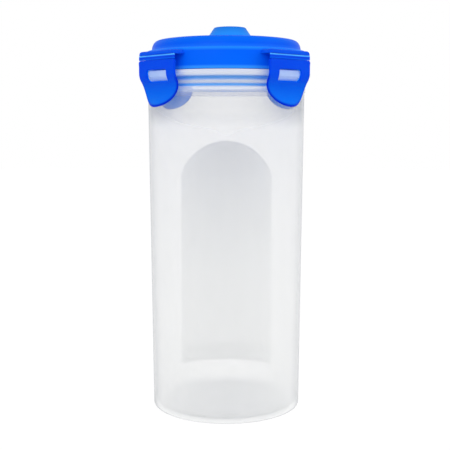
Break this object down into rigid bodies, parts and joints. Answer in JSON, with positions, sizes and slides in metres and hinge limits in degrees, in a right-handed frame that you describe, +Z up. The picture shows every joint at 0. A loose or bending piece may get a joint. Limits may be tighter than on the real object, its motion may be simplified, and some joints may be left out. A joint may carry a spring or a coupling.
{
  "type": "clip lock canister",
  "caption": "Tall round see-through pantry canister with a blue knobbed lid held down by four hinged clip latches.",
  "frame": {"origin": "centre of the base, on the surface that the container stands on", "axes": "+Z up along the container's axis; -Y is the front, between two latches; +X to the right"},
  "size_m": [0.1072, 0.1072, 0.2445],
  "materials": {
    "container": "clear moulded polypropylene, slightly frosted",
    "lid": "blue moulded polypropylene, glossy",
    "latch": "blue moulded polypropylene, glossy",
    "seal": "pale translucent silicone",
    "label": "blank printed film in pale grey-blue"
  },
  "bodies": {
    "container": {"container_body": "container", "rear_label": "label"},
    "lid": {"lid_cover": "lid", "lid_seal": "seal"},
    "strip_front_left": {"hinge_strip_front_left": "latch"},
    "latch_front_left": {"latch_front_left": "latch"},
    "strip_front_right": {"hinge_strip_front_right": "latch"},
    "latch_front_right": {"latch_front_right": "latch"},
    "strip_rear_right": {"hinge_strip_rear_right": "latch"},
    "latch_rear_right": {"latch_rear_right": "latch"},
    "strip_rear_left": {"hinge_strip_rear_left": "latch"},
    "latch_rear_left": {"latch_rear_left": "latch"}
  },
  "joints": [
    {"name": "lid_lift", "type": "slide", "parent": "container", "child": "lid", "axis": [0, 0, 1], "range_m": [0, 0.024]},
    {"name": "strip_flex_front_left", "type": "hinge", "parent": "lid", "child": "strip_front_left", "pos_m": [-0.03977, -0.03977, 0.22425], "axis": [-0.7071, 0.7071, 0], "range_deg": [0, 84.5]},
    {"name": "latch_open_front_left", "type": "hinge", "parent": "strip_front_left", "child": "latch_front_left", "pos_m": [-0.03977, -0.03977, 0.22235], "axis": [-0.7071, 0.7071, 0], "range_deg": [0, 90]},
    {"name": "strip_flex_front_right", "type": "hinge", "parent": "lid", "child": "strip_front_right", "pos_m": [0.03977, -0.03977, 0.22425], "axis": [-0.7071, -0.7071, 0], "range_deg": [0, 84.5]},
    {"name": "latch_open_front_right", "type": "hinge", "parent": "strip_front_right", "child": "latch_front_right", "pos_m": [0.03977, -0.03977, 0.22235], "axis": [-0.7071, -0.7071, 0], "range_deg": [0, 90]},
    {"name": "strip_flex_rear_right", "type": "hinge", "parent": "lid", "child": "strip_rear_right", "pos_m": [0.03977, 0.03977, 0.22425], "axis": [0.7071, -0.7071, 0], "range_deg": [0, 84.5]},
    {"name": "latch_open_rear_right", "type": "hinge", "parent": "strip_rear_right", "child": "latch_rear_right", "pos_m": [0.03977, 0.03977, 0.22235], "axis": [0.7071, -0.7071, 0], "range_deg": [0, 90]},
    {"name": "strip_flex_rear_left", "type": "hinge", "parent": "lid", "child": "strip_rear_left", "pos_m": [-0.03977, 0.03977, 0.22425], "axis": [0.7071, 0.7071, 0], "range_deg": [0, 84.5]},
    {"name": "latch_open_rear_left", "type": "hinge", "parent": "strip_rear_left", "child": "latch_rear_left", "pos_m": [-0.03977, 0.03977, 0.22235], "axis": [0.7071, 0.7071, 0], "range_deg": [0, 90]}
  ],
  "couplings": [
    {"joint": "strip_flex_front_left", "follows": "lid_lift", "rad_per_m": 61.087},
    {"joint": "strip_flex_front_right", "follows": "lid_lift", "rad_per_m": 61.087},
    {"joint": "strip_flex_rear_right", "follows": "lid_lift", "rad_per_m": 61.087},
    {"joint": "strip_flex_rear_left", "follows": "lid_lift", "rad_per_m": 61.087}
  ]
}
